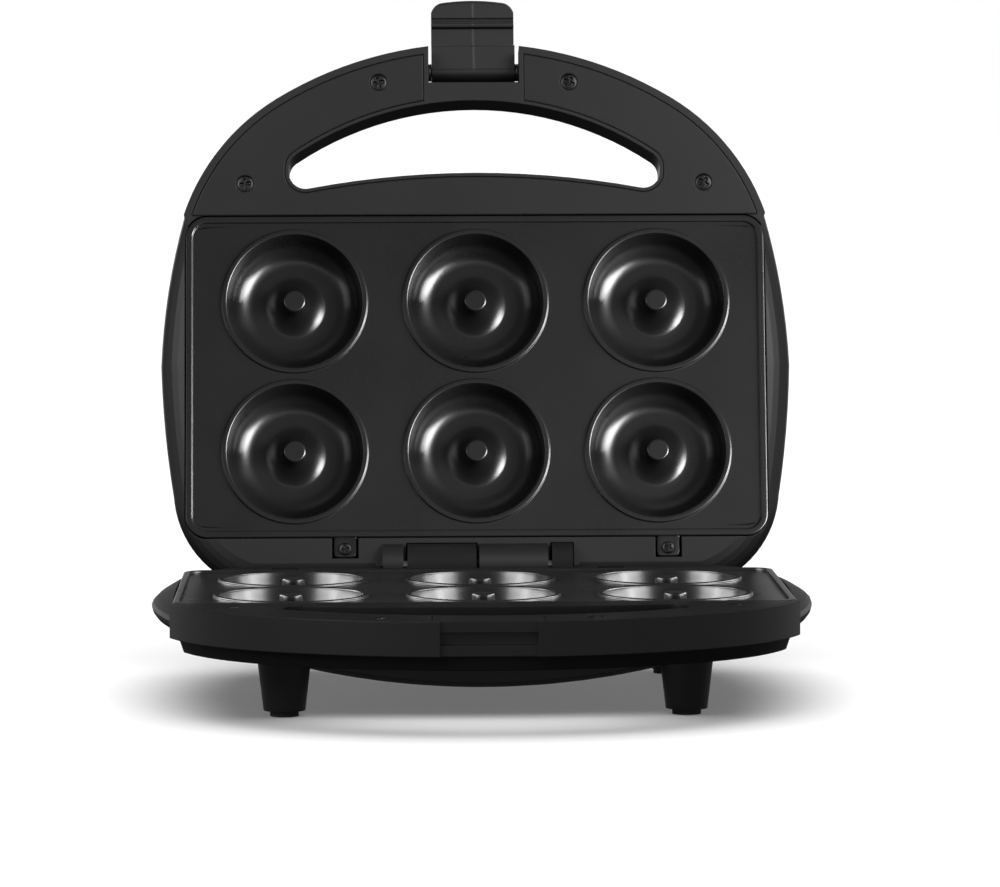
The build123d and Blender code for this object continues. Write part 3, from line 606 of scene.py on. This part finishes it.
stage = {
    "floorReach": 14.0, "floorTone": 0.88, "aimHeight": 0.1,
    # height of a direction against brightness: dark below and overhead, white at eye level
    "sky": [(-0.4, 0.02), (-0.15, 0.08), (-0.06, 0.34), (-0.028, 1.0),
            (0.04, 1.0), (0.09, 0.28), (0.5, 0.14)],
    "dome": {"wide": 84, "strength": 3.25}, "fill": 0.5, "overhead": {"up": 88, "away": 2.0},
}


# floor: circles of growing radius, so that it is fine near the object
def floorGrid():
    angle = np.linspace(0, 2 * pi, 96, endpoint=False)
    radius = stage["floorReach"] * np.linspace(0, 1, 24)[:, None] ** 3
    x, y = radius * np.cos(angle), radius * np.sin(angle)
    return np.stack([x, y, 0 * x - 0.1 * mm], -1)


floorPaint = Paint("paleFloor")
mottle = floorPaint.noise(3.0, 4.0)
tone = stage["floorTone"]
paler = tone + 0.02
floorColour = floorPaint.mix(mottle, (tone, tone, tone, 1), (paler, paler, paler, 1))
floorFine = floorPaint.relief(floorPaint.noise(500.0, 2.0), 0.00001)
floorPaint.finish(Base_Color=floorColour, Roughness=0.7 + mottle * 0.05, Specular_IOR_Level=0.1,
                  Normal=floorFine)
floor = makePiece("floor", [(floorGrid(), True)], None, floorPaint.material, weighted=False)
floor.visible_glossy = False      # the floor takes shadows but throws no light back
floor.visible_diffuse = False

# sky: a ramp over the height of the direction
world = bpy.data.worlds.new("studio")
bpy.context.scene.world = world
world.use_nodes = True
sky = world.node_tree
sky.nodes.clear()
skyPlace = sky.nodes.new("ShaderNodeTexCoord")
skySplit = sky.nodes.new("ShaderNodeSeparateXYZ")
skyHeight = sky.nodes.new("ShaderNodeMapRange")
skyRamp = sky.nodes.new("ShaderNodeValToRGB")
skyLight = sky.nodes.new("ShaderNodeBackground")
skyOut = sky.nodes.new("ShaderNodeOutputWorld")
skyHeight.inputs["From Min"].default_value = -1
steps = skyRamp.color_ramp.elements
while len(steps) < len(stage["sky"]):
    steps.new(0.5)
for step, (height, bright) in zip(steps, stage["sky"]):
    step.position = (height + 1) / 2
    step.color = (bright, bright, bright, 1)
sky.links.new(skyPlace.outputs["Generated"], skySplit.inputs[0])
sky.links.new(skySplit.outputs["Z"], skyHeight.inputs["Value"])
sky.links.new(skyHeight.outputs["Result"], skyRamp.inputs["Fac"])
sky.links.new(skyRamp.outputs["Color"], skyLight.inputs["Color"])
sky.links.new(skyLight.outputs["Background"], skyOut.inputs["Surface"])


# a lamp that shines at the object from a direction: degrees round from straight ahead, and up
def hangLamp(name, lamp, turn, raised, away):
    light = bpy.data.objects.new(name, lamp)
    bpy.context.scene.collection.objects.link(light)
    turn, raised = radians(turn), radians(raised)
    outward = Vector((sin(turn) * cos(raised), -cos(turn) * cos(raised), sin(raised)))
    light.location = aim + outward * away
    light.rotation_euler = outward.to_track_quat("Z", "Y").to_euler()
    return light


# each softbox: how far round from straight ahead, how high, how far, its size and brightness,
# and the groups of pieces it is kept to
softboxes = {
    "wellsRight": {"round": 58, "up": 2, "away": 1.5, "size": (1.7, 0.62), "bright": 38.0,
                   "only": ["lidPlate"]},
    "wellsLeft": {"round": -64, "up": 8, "away": 1.5, "size": (0.9, 0.7), "bright": 1.5,
                  "only": ["lidPlate"]},
    "baseRight": {"round": 62, "up": 8, "away": 1.5, "size": (0.95, 0.7), "bright": 15.0,
                  "only": ["basePlate"]},
    "baseLeft": {"round": -62, "up": 8, "away": 1.5, "size": (0.95, 0.7), "bright": 13.0,
                 "only": ["basePlate"]},
    "rimRight": {"round": 104, "up": 20, "away": 1.6, "size": (2.0, 0.8), "bright": 10.0,
                 "only": ["basePlate"]},
    "rimLeft": {"round": -104, "up": 20, "away": 1.6, "size": (2.0, 0.8), "bright": 10.0,
                "only": ["basePlate"]},
    "frontRight": {"round": 38, "up": 30, "away": 1.6, "size": (0.8, 0.8), "bright": 7.0,
                   "only": ["lidMouldings"]},
    "frontLeft": {"round": -42, "up": 30, "away": 1.6, "size": (0.8, 0.8), "bright": 4.5,
                  "only": ["lidMouldings", "baseMouldings"]},
    "backRight": {"round": 145, "up": 35, "away": 1.6, "size": (1.2, 0.9), "bright": 5.0,
                  "only": ["lidMouldings"]},
    "backLeft": {"round": -150, "up": 28, "away": 1.6, "size": (1.0, 0.9), "bright": 4.0,
                 "only": ["lidMouldings"]},
}
# what each group of lamps falls on
lit = {"lidPlate": [castPlates["lid"]], "basePlate": [castPlates["base"]]}
onBase = ("base_", "feet", "foot_", "cord_", "hinge_")
mouldings = [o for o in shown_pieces() if o not in castPlates.values()]
lit["baseMouldings"] = [o for o in mouldings if o.name.startswith(onBase)]
lit["lidMouldings"] = [o for o in mouldings if not o.name.startswith(onBase)]
aim = Vector(((cadLow.x + cadHigh.x) / 2, (cadLow.y + cadHigh.y) / 2, stage["aimHeight"]))
for name, box in softboxes.items():
    lamp = bpy.data.lights.new(name, "AREA")
    lamp.shape = "RECTANGLE"
    lamp.size, lamp.size_y = box["size"]
    lamp.energy = box["bright"] * pi * lamp.size * lamp.size_y
    light = hangLamp(name, lamp, box["round"], box["up"], box["away"])
    kept = bpy.data.collections.new(name + "Lights")
    for piece in [o for group in box["only"] for o in lit[group]]:
        kept.objects.link(piece)
    light.light_linking.receiver_collection = kept

# a wide even lamp overhead, which the glossy pieces don't mirror
overhead = stage["overhead"]
dome = bpy.data.lights.new("dome", "SUN")
dome.angle = radians(stage["dome"]["wide"])
dome.energy = stage["dome"]["strength"]
hangLamp("dome", dome, 0, overhead["up"], overhead["away"]).visible_glossy = False

# a soft fill that only lifts the shadow on the floor
fill = bpy.data.lights.new("fill", "SUN")
fill.energy, fill.use_shadow = stage["fill"], False
onFloor = bpy.data.collections.new("fillLights")
onFloor.objects.link(floor)
fillLight = hangLamp("fill", fill, 0, overhead["up"], overhead["away"])
fillLight.light_linking.receiver_collection = onFloor

camera = {
    "fromHinge": (-0.0378, -1.934, 0.1847), "yaw": 0.0239, "pitch": 0.072, "roll": -0.003,
    "lens": 188.64, "sensor": 36.0,
}
lens = bpy.data.cameras.new("view")
lens.lens, lens.sensor_width = camera["lens"], camera["sensor"]
viewer = bpy.data.objects.new("view", lens)
bpy.context.scene.collection.objects.link(viewer)
yaw, pitch = camera["yaw"], camera["pitch"]
ahead = Vector((sin(yaw) * cos(pitch), cos(yaw) * cos(pitch), -sin(pitch)))
across = Vector((cos(yaw), -sin(yaw), 0))
upward = across.cross(ahead)
turned = Matrix.Rotation(-camera["roll"], 3, ahead)
basis = Matrix((turned @ across, turned @ upward, -ahead)).transposed().to_4x4()
viewer.matrix_world = Matrix.Translation(Vector(hingePlace) + Vector(camera["fromHinge"])) @ basis
bpy.context.scene.camera = viewer
bpy.context.scene.view_settings.view_transform = "Standard"
bpy.context.scene.view_settings.look = "None"
print("stage, lights and camera set")
